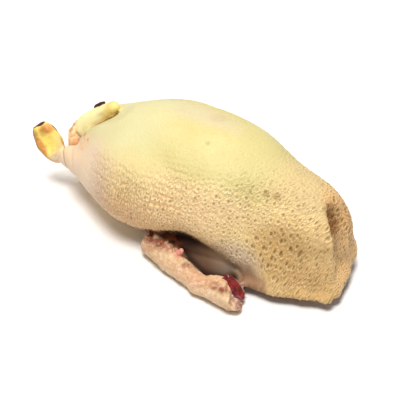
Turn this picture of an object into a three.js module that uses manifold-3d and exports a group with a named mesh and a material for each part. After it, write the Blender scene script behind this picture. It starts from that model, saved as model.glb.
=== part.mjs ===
// Whole raw duck, dressed for the kitchen: no head, neck or feet, wing tips cut off at the wrist.
// It lies on its back, breast up. The neck end points to +X, the tail and the cut shanks to -X.
// Millimetres, +Z up. The origin is on the table, under the middle of the duck's box.
//
// The skin is one smooth form. Each muscle and bone is a rounded lump or a tapered limb,
// given as a distance from its surface, and neighbours flow into each other over a named reach.
// The joined distance is then turned into a closed mesh on a grid with finer steps at the limbs.

import * as THREE from 'three';
import * as BufferGeometryUtils from 'three/addons/utils/BufferGeometryUtils.js';
import Module from 'manifold-3d';

// Driving dimensions

const TRUNK = [
  { name: 'breast', at: [-3, 0, 69], half: [104, 71, 62], reach: 0 },
  { name: 'belly', at: [-60, 0, 63], half: [100, 60, 52], reach: 28 },
  { name: 'back', at: [-20, 0, 31], half: [130, 46, 34], reach: 16 },
  { name: 'neck end', at: [86, 4, 51], half: [73, 50, 50], reach: 20 },
  { name: 'neck skin, folded under', at: [100, 8, 32], half: [56, 44, 34], reach: 12 },
];
const BREAST_EDGE = {
  joints: [[8, 38, 60], [45, 38, 50], [70, 37, 36], [100, 34, 26], [134, 28, 20]],
  radii: [24, 24, 24, 23, 18],
  reach: 14,
  inner_reach: 12,
};
const THIGH = { at: [-58, 50, 60], half: [62, 32, 44], yaw: 12, reach: 18 };

// Drumsticks and shanks differ: the near leg lies back, the far shank is folded over the belly.
const LEGS = [
  { from: [-64, -56, 56], to: [-156, -38, 50], radii: [28, 12], reach: 14 },
  { from: [-64, 56, 58], to: [-160, 12, 58], radii: [28, 12], reach: 14 },
];
const SHANKS = [
  { from: [-167, -41, 51], to: [-183, -40, 68], radii: [13, 15.5], flat: [0.6, -0.75, 0.2], squash: 0.6, reach: 4 },
  { from: [-166, 3, 64], to: [-123, 1, 103.5], radii: [11, 9.5], flat: [0, -0.6, 1], squash: 0.9, reach: 5 },
];

const TAIL = { at: [-178, 10, 38], half: [13, 17, 21], pitch: 20, reach: 8 };
const RUMP = { from: [-130, 4, 40], to: [-176, 8, 34], radii: [26, 18], reach: 10 };

// The belly slopes down behind the vent, where the far shank lies in a shallow hollow.
const VENT = { from: [-172, -10, 88], to: [-122, -10, 124], radii: [24, 24], reach: 10 };

// The edge of the neck skin stands up as a lip, with a hollow behind it.
const LIP = {
  joints: [[122, 3, 87], [139, -11, 76], [149, -19, 58], [153, -21, 36], [158, -32, 10]],
  radii: [4, 5, 5, 5, 5],
  reach: 9,
  inner_reach: 3,
};
const SKIRT = {
  joints: [[84, -44, 11], [112, -40, 11], [155, -30, 6]],
  radii: [13, 18, 7],
  reach: 10,
  inner_reach: 6,
};
const SKIRT_FRONT = { from: [152, -22, 12], to: [146, 20, 18], radii: [13, 16], reach: 10 };
const HOLLOWS = [
  { at: [145, -2, 80], half: [9, 15, 17], pitch: 42, reach: 0 },
  { at: [158, -6, 62], half: [7, 13, 20], pitch: 10, reach: 8 },
];
const HOLLOW_WALL = { at: [141, -13.5, 75.5], facing: [-0.757, -0.635, -0.131], fade: 9, reach: 7 };

// The wings are alike on both sides, so these are for +Y and are mirrored.
const UPPER_ARM = { from: [96, 34, 22], to: [-24, 60, 15], radii: [17, 11], reach: 8 };
const FOREARM = {
  joints: [[-27, 71, 14], [8, 81, 13], [48, 88, 12.5], [86, 89, 15]],
  radii: [13, 12.5, 12, 16.5],
  flat: [0, 0.3, 1],
  squash: 0.9,
  reach: 4,
  inner_reach: 4,
};
const WRIST_CUT = { at: [88, 86, 18], facing: [0.8, -0.2, 0.55], reach: 4 };
const FLESH = {
  radius: 12, radius_deep: 5, height: 0.88, bulge: 2.4, lumps: 0.8, mouth: 8, gap: 0.35, sides: 14,
};

const TABLE_REACH = 2;

// Grid steps: limits and step of each stretch along an axis
const GRID = {
  x: [[-212, -128, 5], [-128, 104, 8.2], [104, 176, 6]],
  y: [[-112, -58, 5.3], [-58, -15, 7.2], [-15, 15, 5.1], [15, 58, 7.2], [58, 112, 5.3]],
  z: [[-7.5, 33, 5.1], [33, 81, 6.8], [81, 136, 8]],
};

const SKIN_COLOUR = 0xe6cf98;
const FLESH_COLOUR = 0x8a3034;

// Distances

const turned = (yaw = 0, pitch = 0) =>
  new THREE.Matrix4()
    .makeRotationZ(THREE.MathUtils.degToRad(yaw))
    .multiply(new THREE.Matrix4().makeRotationY(THREE.MathUtils.degToRad(-pitch)));

function join(a, b, reach) {
  if (reach === 0) return Math.min(a, b);
  const share = THREE.MathUtils.clamp(0.5 + (0.5 * (b - a)) / reach, 0, 1);
  return b * (1 - share) + a * share - reach * share * (1 - share);
}

const trim = (a, b, reach) => -join(-a, -b, reach);

function lump({ at, half, yaw, pitch }) {
  const centre = new THREE.Vector3(...at);
  const radii = new THREE.Vector3(...half);
  const back = turned(yaw, pitch).transpose();
  const q = new THREE.Vector3();
  return (p) => {
    q.copy(p).sub(centre).applyMatrix4(back).divide(radii);
    const near = q.length();
    const slope = q.divide(radii).length();
    return slope > 0 ? (near * (near - 1)) / slope : -Math.min(...half);
  };
}

function limb({ from, to, radii, flat, squash = 1 }) {
  const start = new THREE.Vector3(...from);
  const along = new THREE.Vector3(...to).sub(start);
  const across = flat ? new THREE.Vector3(...flat).normalize() : null;
  const q = new THREE.Vector3();
  return (p) => {
    q.copy(p).sub(start);
    const t = THREE.MathUtils.clamp(q.dot(along) / along.lengthSq(), 0, 1);
    q.addScaledVector(along, -t);
    const radius = THREE.MathUtils.lerp(radii[0], radii[1], t);
    if (!across) return q.length() - radius;
    const off = q.dot(across);
    const length = Math.sqrt(q.lengthSq() + off * off * (1 / squash ** 2 - 1));
    return (length - radius) * (0.5 + 0.5 * squash);
  };
}

function plane({ at, facing }) {
  const normal = new THREE.Vector3(...facing).normalize();
  const flat = new THREE.Plane().setFromNormalAndCoplanarPoint(normal, new THREE.Vector3(...at));
  return (p) => flat.distanceToPoint(p);
}

// Forms that flow into each other, each over its own reach

const joined = (forms) => (p) =>
  forms.reduce((d, [form, reach]) => (d === null ? form(p) : join(d, form(p), reach)), null);

// A row of limbs, end to end

const chain = ({ joints, radii, flat, squash, inner_reach: reach }) =>
  joined(joints.slice(1).map((to, i) => [limb({ from: joints[i], to, radii: radii.slice(i), flat, squash }), reach]));

// The duck's form

function duckSkin() {
  const trunk = joined(TRUNK.map((form) => [lump(form), form.reach]));
  const breastEdge = chain(BREAST_EDGE);
  const thigh = lump(THIGH);
  const tail = lump(TAIL);
  const hollow = joined(HOLLOWS.map((form) => [lump(form), form.reach]));
  const wall = plane(HOLLOW_WALL);
  const legs = [...LEGS, RUMP].map((form) => [limb(form), form.reach]);
  const vent = limb(VENT);
  const shanks = SHANKS.map((form) => [limb(form), form.reach]);
  const skirt = chain(SKIRT);
  const skirtFront = limb(SKIRT_FRONT);
  const lip = chain(LIP);
  const upperArm = limb(UPPER_ARM);
  const wristCut = plane(WRIST_CUT);
  const forearm = chain(FOREARM);
  const m = new THREE.Vector3();

  return (p) => {
    m.set(p.x, Math.abs(p.y), p.z);
    let d = join(trunk(p), breastEdge(m), BREAST_EDGE.reach);
    d = join(d, thigh(m), THIGH.reach);
    for (const [form, reach] of legs) d = join(d, form(p), reach);
    d = trim(d, -vent(p), VENT.reach);
    d = join(d, tail(p), TAIL.reach);
    for (const [form, reach] of shanks) d = join(d, form(p), reach);

    d = join(d, skirt(p), SKIRT.reach);
    d = join(d, skirtFront(p), SKIRT_FRONT.reach);
    d = join(d, lip(p), LIP.reach);

    const dented = trim(d, -hollow(p), HOLLOW_WALL.reach);
    const behindLip = THREE.MathUtils.clamp(0.5 - wall(p) / HOLLOW_WALL.fade, 0, 1);
    d = THREE.MathUtils.lerp(d, dented, behindLip);

    d = join(d, upperArm(m), UPPER_ARM.reach);
    const wing = trim(forearm(m), wristCut(m), WRIST_CUT.reach);
    d = join(d, wing, FOREARM.reach);

    return trim(d, -p.z, TABLE_REACH);
  };
}

// Closed mesh of a distance, on a grid with its own steps along each axis

function gridLine(stretches) {
  const line = [stretches[0][0]];
  for (const [from, to, step] of stretches) {
    const count = Math.max(1, Math.round((to - from) / step));
    for (let i = 1; i <= count; i++) line.push(from + ((to - from) * i) / count);
  }
  return line;
}

function slopeOf(distance, p, step = 0.4) {
  const q = new THREE.Vector3();
  const axes = ['x', 'y', 'z'];
  const slope = new THREE.Vector3();
  for (const axis of axes) {
    q.copy(p)[axis] += step;
    const ahead = distance(q);
    q[axis] -= 2 * step;
    slope[axis] = (ahead - distance(q)) / (2 * step);
  }
  return slope;
}

function skinMesh(distance, grid) {
  const lines = [gridLine(grid.x), gridLine(grid.y), gridLine(grid.z)];
  const [nx, ny, nz] = lines.map((line) => line.length);
  const node = (i, j, k) => (i * ny + j) * nz + k;
  const values = new Float64Array(nx * ny * nz);
  const p = new THREE.Vector3();
  for (let i = 0; i < nx; i++) {
    for (let j = 0; j < ny; j++) {
      for (let k = 0; k < nz; k++) {
        values[node(i, j, k)] = distance(p.set(lines[0][i], lines[1][j], lines[2][k]));
      }
    }
  }

  // One vertex in each cell that the surface passes through, at the mean of its edge crossings
  const vertexOf = new Map();
  const points = [];
  const cells = [];
  for (let i = 0; i < nx - 1; i++) {
    for (let j = 0; j < ny - 1; j++) {
      for (let k = 0; k < nz - 1; k++) {
        const mean = new THREE.Vector3();
        let crossings = 0;
        for (let axis = 0; axis < 3; axis++) {
          for (let side = 0; side < 4; side++) {
            const start = [i, j, k];
            start[(axis + 1) % 3] += side & 1;
            start[(axis + 2) % 3] += side >> 1;
            const end = [...start];
            end[axis] += 1;
            const a = values[node(...start)];
            const b = values[node(...end)];
            if (a < 0 === b < 0) continue;
            const share = a / (a - b);
            const spot = start.map((n, c) => THREE.MathUtils.lerp(lines[c][n], lines[c][end[c]], share));
            mean.add(new THREE.Vector3(...spot));
            crossings++;
          }
        }
        if (crossings === 0) continue;
        vertexOf.set(node(i, j, k), points.length);
        points.push(mean.divideScalar(crossings));
        cells.push(new THREE.Box3(
          new THREE.Vector3(lines[0][i], lines[1][j], lines[2][k]),
          new THREE.Vector3(lines[0][i + 1], lines[1][j + 1], lines[2][k + 1]),
        ));
      }
    }
  }

  // Draw each vertex onto the true surface, inside its own cell so that no two come together
  points.forEach((point, n) => {
    const cell = cells[n];
    const room = cell.getSize(new THREE.Vector3()).multiplyScalar(0.4);
    cell.set(cell.getCenter(new THREE.Vector3()).sub(room), cell.getCenter(new THREE.Vector3()).add(room));
    for (let pass = 0; pass < 3; pass++) {
      const slope = slopeOf(distance, point);
      point.addScaledVector(slope, (-0.9 * distance(point)) / Math.max(slope.lengthSq(), 0.25));
      cell.clampPoint(point, point);
    }
    if (point.z < 0.6) point.z = 0;
  });

  // A quad round each grid edge that crosses the surface, split along the diagonal nearest to it
  const triangles = [];
  const middle = new THREE.Vector3();
  const miss = (a, b) => Math.abs(distance(middle.addVectors(points[a], points[b]).multiplyScalar(0.5)));
  for (let i = 1; i < nx - 1; i++) {
    for (let j = 1; j < ny - 1; j++) {
      for (let k = 1; k < nz - 1; k++) {
        for (let axis = 0; axis < 3; axis++) {
          const end = [i, j, k];
          end[axis] += 1;
          const inside = values[node(i, j, k)] < 0;
          if (inside === values[node(...end)] < 0) continue;
          const round = [[0, 0], [-1, 0], [-1, -1], [0, -1]].map(([u, v]) => {
            const cell = [i, j, k];
            cell[(axis + 1) % 3] += u;
            cell[(axis + 2) % 3] += v;
            return vertexOf.get(node(...cell));
          });
          if (!inside) round.reverse();
          const [a, b, c, d] = round;
          if (miss(a, c) < miss(b, d)) triangles.push([a, b, c], [a, c, d]);
          else triangles.push([a, b, d], [b, c, d]);
        }
      }
    }
  }

  const geometry = new THREE.BufferGeometry().setFromPoints(points);
  geometry.setIndex(triangles.flat());
  return geometry;
}

// Only positions, with shared vertices merged and the collapsed triangles at a pole left out

function merged(geometry) {
  const bare = new THREE.BufferGeometry();
  bare.setAttribute('position', geometry.attributes.position);
  bare.setIndex(geometry.index);
  const joined = BufferGeometryUtils.mergeVertices(bare, 1e-4);
  const corners = [...joined.index.array];
  const kept = [];
  for (let i = 0; i < corners.length; i += 3) {
    const [a, b, c] = corners.slice(i, i + 3);
    if (a !== b && b !== c && c !== a) kept.push(a, b, c);
  }
  joined.setIndex(kept);
  return joined;
}

// Raw flesh of a wing: it runs along the forearm and shows at the wrist's slanting cut.
// A turned profile is bent along the forearm. Its rim lies on the plane of the cut, at t = 1,
// and what has t = 2 stands past that plane: the lumpy face of the flesh, or the socket's mouth.

function wingFlesh(side, socket) {
  const centres = FOREARM.joints.map(([x, y, z]) => new THREE.Vector3(x, side * y, z));
  const path = new THREE.CatmullRomCurve3(centres);
  const [cx, cy, cz] = WRIST_CUT.facing;
  const facing = new THREE.Vector3(cx, side * cy, cz).normalize();
  const [ax, ay, az] = WRIST_CUT.at;
  const cutPoint = new THREE.Vector3(ax, side * ay, az);
  const grow = socket ? FLESH.gap : 0;
  const radius = FLESH.radius + grow;
  const deep = FLESH.radius_deep + grow;
  const mouth = socket ? [[radius + 3, 2]] : [[radius * 0.7, 2], [radius * 0.35, 2]];
  const profile = [
    [0, 0], [deep * 0.7, 0.004], [deep, 0.03], [deep + 1, 0.3],
    [(deep + radius) / 2, 0.6], [radius - 0.8, 0.85], [radius, 1], ...mouth, [0, 2],
  ];
  const geometry = merged(new THREE.LatheGeometry(profile.map(([r, t]) => new THREE.Vector2(r, t)), FLESH.sides));

  const place = geometry.attributes.position;
  const up = new THREE.Vector3(0, 0, 1);
  for (let i = 0; i < place.count; i++) {
    const across = place.getX(i);
    const high = place.getZ(i);
    const t = place.getY(i);
    const ahead = path.getTangent(Math.min(t, 1));
    const sideways = new THREE.Vector3().crossVectors(ahead, up).normalize();
    const spot = path.getPoint(Math.min(t, 1)).addScaledVector(sideways, across).addScaledVector(up, high * FLESH.height);
    if (t < 0.02) spot.addScaledVector(ahead, -grow);
    if (t >= 1) {
      const spread = Math.hypot(across, high) / radius;
      const lumps = FLESH.lumps * Math.sin(across * 0.9 + side) * Math.cos(high * 0.8);
      const out = t > 1 ? (socket ? FLESH.mouth : FLESH.bulge * (1 - spread ** 2) + lumps) : 0;
      spot.addScaledVector(ahead, (cutPoint.clone().sub(spot).dot(facing) + out) / ahead.dot(facing));
    }
    place.setXYZ(i, spot.x, spot.y, spot.z);
  }
  return geometry;
}

// Joins and cuts

const wasm = await Module();
wasm.setup();

function toSolid(geometry) {
  const closed = merged(geometry);
  const vertProperties = new Float32Array(closed.attributes.position.array);
  const triVerts = new Uint32Array(closed.index.array);
  return new wasm.Manifold(new wasm.Mesh({ numProp: 3, vertProperties, triVerts }));
}

function toGeometry(solid) {
  const mesh = solid.getMesh();
  const geometry = new THREE.BufferGeometry();
  geometry.setAttribute('position', new THREE.BufferAttribute(new Float32Array(mesh.vertProperties), 3));
  geometry.setIndex(new THREE.BufferAttribute(new Uint32Array(mesh.triVerts), 1));
  return geometry;
}

// The parts

let skin = toSolid(skinMesh(duckSkin(), GRID));
for (const side of [-1, 1]) skin = skin.subtract(toSolid(wingFlesh(side, true)));
const skinGeometry = toGeometry(skin);
skinGeometry.computeBoundingBox();
const middle = skinGeometry.boundingBox.getCenter(new THREE.Vector3());

const skinLook = new THREE.MeshStandardMaterial({ color: SKIN_COLOUR, roughness: 0.5, metalness: 0 });
const fleshLook = new THREE.MeshStandardMaterial({ color: FLESH_COLOUR, roughness: 0.35, metalness: 0 });

function part(name, geometry, look) {
  geometry.translate(-middle.x, -middle.y, 0);
  geometry.computeVertexNormals();
  const mesh = new THREE.Mesh(geometry, look);
  mesh.name = name;
  return mesh;
}

const duck = new THREE.Group();
duck.name = 'whole_raw_duck';
duck.add(part('duck', skinGeometry, skinLook));
duck.add(part('wing_flesh_near', wingFlesh(-1, false), fleshLook));
duck.add(part('wing_flesh_far', wingFlesh(1, false), fleshLook.clone()));

export default duck;
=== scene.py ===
# Whole raw duck, dressed for the kitchen: pored skin, cut wings and shank stumps.
# The duck's forms are given in millimetres, on the middle line that the bird was laid out on;
# place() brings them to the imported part's frame, in metres.

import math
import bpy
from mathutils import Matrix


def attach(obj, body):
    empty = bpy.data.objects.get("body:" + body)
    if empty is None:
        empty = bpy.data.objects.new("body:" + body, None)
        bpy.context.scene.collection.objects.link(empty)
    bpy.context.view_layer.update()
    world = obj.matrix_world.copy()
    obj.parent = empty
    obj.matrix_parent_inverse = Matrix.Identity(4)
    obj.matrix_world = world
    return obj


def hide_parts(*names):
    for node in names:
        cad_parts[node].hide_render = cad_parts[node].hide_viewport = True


bl_info = {
    "name": "Whole Raw Duck",
    "version": (1, 0, 0),
    "blender": (4, 5, 0),
    "location": "View3D > Sidebar > Duck",
    "description": "Builds the pored skin and the cut flesh of a dressed duck",
    "category": "Add Mesh",
}

from types import SimpleNamespace

import bpy
import numpy as np
from mathutils import Vector

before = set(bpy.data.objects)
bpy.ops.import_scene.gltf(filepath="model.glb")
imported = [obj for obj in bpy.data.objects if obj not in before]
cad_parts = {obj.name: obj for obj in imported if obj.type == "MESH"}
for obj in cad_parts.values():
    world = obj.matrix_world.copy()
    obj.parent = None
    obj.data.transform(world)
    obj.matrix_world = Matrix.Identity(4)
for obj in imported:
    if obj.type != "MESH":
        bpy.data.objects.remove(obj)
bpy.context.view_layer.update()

# The middle of the duck's box lies this far from the middle of its breast, in millimetres
SHIFT = 14.79


def place(points):
    return (np.asarray(points, float) + (SHIFT, 0, 0)) / 1000


def colour(code):
    parts = [int(code[i:i + 2], 16) / 255 for i in (0, 2, 4)]
    return tuple(c / 12.92 if c <= 0.04045 else ((c + 0.055) / 1.055) ** 2.4 for c in parts)


# Forms as fields: about the distance to the surface in millimetres, below 0 inside

def join(a, b, reach):
    """Both forms in one, with a soft seam of about that reach."""
    share = np.clip(0.5 + 0.5 * (b - a) / reach, 0, 1)
    return b + (a - b) * share - reach * share * (1 - share)


def trim(a, b, reach):
    """What both forms share, with a softened edge."""
    return -join(-a, -b, reach)


def turned(yaw=0.0, pitch=0.0):
    a, b = math.radians(yaw), math.radians(pitch)
    about_z = np.array([[math.cos(a), -math.sin(a), 0], [math.sin(a), math.cos(a), 0], [0, 0, 1]])
    about_y = np.array([[math.cos(b), 0, -math.sin(b)], [0, 1, 0], [math.sin(b), 0, math.cos(b)]])
    return about_z @ about_y


def oval(q, half):
    """Field of an ellipsoid, from places that are already divided by its half sizes."""
    near = np.sqrt(q[0] ** 2 + q[1] ** 2 + q[2] ** 2)
    slope = np.sqrt((q[0] / half[0]) ** 2 + (q[1] / half[1]) ** 2 + (q[2] / half[2]) ** 2)
    return near * (near - 1) / np.maximum(slope, 1e-6)


def lump(p, at, half, yaw=0.0, pitch=0.0):
    axes = turned(yaw, pitch)
    d = [p[i] - at[i] for i in range(3)]
    q = [(axes[0, i] * d[0] + axes[1, i] * d[1] + axes[2, i] * d[2]) / half[i] for i in range(3)]
    return oval(q, half)


def blade(p, at, way, facing, half):
    """A flat oval lying along way, with its broad side towards facing."""
    long = np.array(way, float) / np.linalg.norm(way)
    thin = np.array(facing, float)
    thin = thin - long * (thin @ long)
    thin = thin / np.linalg.norm(thin)
    axes = (long, np.cross(thin, long), thin)
    q = [sum((p[i] - at[i]) * axis[i] for i in range(3)) / size for axis, size in zip(axes, half)]
    return oval(q, half)


def limb(p, start, end, radii, flat=None, squash=1.0):
    """A round rod between two points; squash below 1 makes it thinner along flat."""
    along = [end[i] - start[i] for i in range(3)]
    q = [p[i] - start[i] for i in range(3)]
    length = sum(a * a for a in along)
    t = np.clip((q[0] * along[0] + q[1] * along[1] + q[2] * along[2]) / length, 0, 1)
    q = [q[i] - t * along[i] for i in range(3)]
    square = q[0] ** 2 + q[1] ** 2 + q[2] ** 2
    radius = radii[0] + (radii[1] - radii[0]) * t
    if flat is None:
        return np.sqrt(square) - radius
    size = math.sqrt(sum(c * c for c in flat))
    off = sum(q[i] * (flat[i] / size) for i in range(3))
    return (np.sqrt(square + off ** 2 * (1 / squash ** 2 - 1)) - radius) * (0.5 + 0.5 * squash)


def chain(p, joints, radii, reach, flat=None, squash=1.0):
    whole = None
    for i in range(len(joints) - 1):
        part = limb(p, joints[i], joints[i + 1], radii[i:i + 2], flat, squash)
        whole = part if whole is None else join(whole, part, reach)
    return whole


def plane(p, at, facing):
    size = math.sqrt(sum(c * c for c in facing))
    return sum((p[i] - at[i]) * (facing[i] / size) for i in range(3))


def ripple(p, size, seed, waves=7):
    """Soft irregular relief, mostly between -1 and 1, with humps about as wide as size."""
    draw = np.random.default_rng(seed)
    total = 0
    for _ in range(waves):
        way = draw.normal(size=3)
        way *= 2 * math.pi / (size * 2.1 * np.linalg.norm(way)) * draw.uniform(0.7, 1.35)
        total = total + np.sin(way[0] * p[0] + way[1] * p[1] + way[2] * p[2] + draw.uniform(0, 6.28))
    return total / math.sqrt(waves) / 1.3


def smooth(x, low, high):
    t = np.clip((x - low) / (high - low), 0, 1)
    return t * t * (3 - 2 * t)


def blot(p, at, half, soft=0.6):
    """1 inside a soft ellipsoid, fading to 0 outside it."""
    q = np.sqrt(sum(((p[i] - at[i]) / half[i]) ** 2 for i in range(3)))
    return 1 - smooth(q, 1 - soft / 2, 1 + soft / 2)


def mirrored(p):
    return p[0], np.abs(p[1]), p[2]


# Sizes and places of the duck's forms. A limb is given by its start, its end and its radii there;
# a flattened one also has the direction that it is thin in, and how thin.

# Trunk: middle and half sizes of each lump, and how softly it joins the ones before it
TRUNK = (
    ((-3, 0, 69), (104, 71, 62), 0),
    ((-60, 0, 63), (100, 60, 52), 28),
    ((-20, 0, 31), (130, 46, 34), 16),
    ((86, 4, 51), (73, 50, 50), 20),
    ((100, 8, 32), (56, 44, 34), 12),
)
BREAST_EDGE = ((8, 38, 60), (45, 38, 50), (70, 37, 36), (100, 34, 26), (134, 28, 20))
BREAST_EDGE_RADII = (24, 24, 24, 23, 18)
THIGH = {"at": (-58, 50, 60), "half": (62, 32, 44), "yaw": 12}

# Legs and tail
NEAR_DRUMSTICK = ((-64, -56, 56), (-156, -38, 50), (28, 12))
FAR_DRUMSTICK = ((-64, 56, 58), (-160, 12, 58), (28, 12))
TAIL_ROOT = ((-130, 4, 40), (-176, 8, 34), (26, 18))
TAIL_TIP = {"at": (-178, 10, 38), "half": (13, 17, 21), "pitch": 20}
TAIL_SIDE = {"at": (-172, -6, 47), "half": (10, 9, 8)}
VENT_HOLLOW = ((-172, -10, 88), (-122, -10, 124), (24, 24))
SHANK_WAY = (-0.52, -0.03, 0.85)
SHANK_FLAT = (0.6, -0.75, 0.2)
NEAR_SHANK = {"at": (-179.5, -42.5, 63), "way": SHANK_WAY, "facing": SHANK_FLAT, "half": (25.5, 14.3, 7.3)}
SHANK_SCOOP = {"at": (-179, -50, 68), "way": SHANK_WAY, "facing": SHANK_FLAT, "half": (15, 9, 5)}
SHANK_TIP = ((-190, -42.5, 83.5), (-0.40, 0.05, 0.9))
FAR_SHANK = ((-162, 3, 67), (-124.5, 2, 103.5), (14.8, 7.6), (0, -0.6, 1), 0.72)
FAR_SHANK_UNDERSIDE = ((-143, 1.5, 84), (0.337, -0.617, -0.37))
CRUST = ((-156.5, 9.3, 89), (-141.5, 8.3, 100.6), (1.7, 1.3))

# Hock: the soft region round it, the way along it, and the place and depth of each ring of skin
HOCK = ((-150, -46, 56), (26, 22, 24), 0.4)
HOCK_WAY = (-0.81, -0.377, -0.444)
HOCK_RINGS = ((120.3, 1.0), (107.5, 0.7))

# Neck end: the skirt folded under it, its lip with two dents behind, and the hem with its hollow
SKIRT = ((86, -48, 11), (114, -44, 11), (157, -31, 7))
SKIRT_RADII = (14, 18.5, 8)
NECK_FLOOR = ((152, -22, 12), (146, 20, 18), (13, 16))
LIP = ((124, 2, 84), (142, -12, 76), (151, -19, 58), (154, -21, 36), (159, -32, 10))
LIP_RADII = (3, 4.5, 5, 3.5, 2)
LIP_WALL = ((144.5, -13.5, 75.5), (-0.757, -0.635, -0.131))
UPPER_DENT = {"at": (148, -3, 77), "half": (9, 15, 15), "pitch": 42}
LOWER_DENT = {"at": (160, -7, 60), "half": (7, 13, 19), "pitch": 10}
HEM = (
    (87.5, -68.5, 13), (113.6, -63, 13.4), (143.5, -53.5, 12.8),
    (165, -44, 11.6), (165.8, -31.5, 12.8), (161, -2, 14.3))
HEM_RADII = (2, 2.5, 2.5, 2.5, 3, 4)
UNDERCUT = ((83, -57, -1), (113, -55, 0), (144, -44, 0), (158, -34, 0), (158, -19, -1), (152, 0, -1))
UNDERCUT_RADII = (20, 24, 24, 24, 23, 22)

# Wings, given for +Y and mirrored
UPPER_ARM = ((96, 34, 22), (-24, 60, 15), (17, 11))
WEB = ((2, 64, 8), (64, 63, 8), (13, 19), (0, 0, 1), 0.4)
FOREARM = ((-20, 72, 14), (8, 81, 13), (50, 93, 11.5), (86, 89, 15))
FOREARM_RADII = (13, 12.3, 9.6, 17)
FOREARM_FLAT = (0, 0.3, 1)
NUB = ((15, 79, 21), (18, 77, 28), (4.4, 2.8))
WRIST_CUT = ((87, 86, 18), (0.74, -0.26, 0.6))
FLESH_RADII = (5, 6.2, 6.2, 5)
FLESH_END = {
    "at": (85, 83.5, 18), "way": (-0.63, -0.01, 0.774), "facing": WRIST_CUT[1], "half": (15.5, 6.4, 12)}
FLESH_GAP = 0.35
ELBOW = ((-14, 71, 26), (24, 13, 9), 0.8)
ELBOW_FOLDS = ((-2, 77, 24), (20, 7, 7), 0.9)
ELBOW_FOLD_PITCH = 6.2

# Corners of the boxes that the two fields are sampled in
SKIN_GRID = ((-206, -112, -3.3), (176, 112, 138))
FLESH_GRID = ((-36, 60, -2), (104, 108, 34))


# The duck's forms

def flesh_form(m):
    """The raw flesh inside a wing, for +Y; it swells a little past the cut."""
    core = chain(m, FOREARM, FLESH_RADII, 3, FOREARM_FLAT, 0.88)
    core = join(core, blade(m, **FLESH_END), 4)
    bulge = 2.4 + 1.6 * ripple(m, 7, 5)
    return trim(core, plane(m, *WRIST_CUT) - bulge, 3)


def forearm_form(m):
    return chain(m, FOREARM, FOREARM_RADII, 4, FOREARM_FLAT, 0.9)


def wing_form(m):
    wing = join(forearm_form(m), limb(m, *NUB), 2)
    edge = 1.5 * ripple(m, 9, 8) + 0.7 * ripple(m, 4, 9)
    return trim(wing, plane(m, *WRIST_CUT) - edge, 1.6)


def crust_form(p):
    return limb(p, *CRUST) + 0.5 * ripple(p, 4, 74)


def trunk_form(p):
    m = mirrored(p)
    d = None
    for at, half, reach in TRUNK:
        part = lump(p, at, half)
        d = part if d is None else join(d, part, reach)
    d = join(d, chain(m, BREAST_EDGE, BREAST_EDGE_RADII, 12), 14)
    return join(d, lump(m, **THIGH), 18)


def with_legs(d, p):
    """Adds the drumsticks, the tail and the two shank ends."""
    d = join(d, limb(p, *NEAR_DRUMSTICK), 14)
    d = join(d, limb(p, *FAR_DRUMSTICK), 14)
    d = join(d, limb(p, *TAIL_ROOT), 8)
    d = trim(d, -limb(p, *VENT_HOLLOW), 10)
    tail = join(lump(p, **TAIL_TIP), lump(p, **TAIL_SIDE), 5)
    tail = tail + 1.7 * ripple(p, 6.5, 3) + 0.8 * ripple(p, 3.5, 4)
    d = join(d, tail, 6)
    shank = blade(p, **NEAR_SHANK) + 0.5 * ripple(p, 8, 71)
    shank = trim(shank, plane(p, *SHANK_TIP) - 1.7 * ripple(p, 7, 72), 1.2)
    d = join(d, trim(shank, -blade(p, **SHANK_SCOOP), 3), 3)
    d = join(d, limb(p, *FAR_SHANK) + 0.4 * ripple(p, 9, 73), 1.2)
    return join(d, crust_form(p), 1.5)


def with_neck_end(d, p):
    """Adds the neck skin: a skirt that is folded under, a hem, and a lip with a hollow behind it."""
    d = join(d, chain(p, SKIRT, SKIRT_RADII, 6), 10)
    d = join(d, limb(p, *NECK_FLOOR), 10)
    d = join(d, chain(p, LIP, LIP_RADII, 3), 9)
    d = join(d, chain(p, HEM, HEM_RADII, 4) + 0.4 * ripple(p, 9, 61), 13)
    hollow = chain(p, UNDERCUT, UNDERCUT_RADII, 4, (0, 0, 1), 0.5)
    d = trim(d, -hollow, 1.5)
    dent = join(lump(p, **UPPER_DENT), lump(p, **LOWER_DENT), 8)
    fading = 3 + 14 * smooth(p[2], 80, 92) + 22 * smooth(p[2], 50, 28)
    behind = np.clip(0.5 - plane(p, *LIP_WALL) / fading, 0, 1)
    return d + (trim(d, -dent, 7) - d) * behind


def skin_form(p):
    m = mirrored(p)
    d = with_neck_end(with_legs(trunk_form(p), p), p)
    d = join(d, limb(m, *UPPER_ARM), 4)
    d = join(d, limb(m, *WEB), 8)
    d = join(d, wing_form(m), 4)
    d = trim(d, -p[2], 2)
    return np.maximum(d, FLESH_GAP - flesh_form(m))


# Meshes

SLAB = 24
CORNERS = tuple((i, j, k) for i in (0, 1) for j in (0, 1) for k in (0, 1))


def slope_of(field, points, step=0.35):
    slope = np.empty_like(points)
    for axis in range(3):
        shift = np.zeros(3)
        shift[axis] = step
        slope[:, axis] = field((points + shift).T) - field((points - shift).T)
    return slope / (2 * step)


def unit(vectors):
    return vectors / np.maximum(np.linalg.norm(vectors, axis=1, keepdims=True), 1e-9)


def sampled(field, axes):
    """The field's values on a grid, worked out slab by slab to save memory."""
    grid = np.meshgrid(*axes, indexing="ij", sparse=True)
    values = np.empty([len(a) for a in axes], np.float32)
    for i in range(0, len(axes[0]), SLAB):
        values[i:i + SLAB] = field((grid[0][i:i + SLAB], grid[1], grid[2]))
    return values


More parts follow.
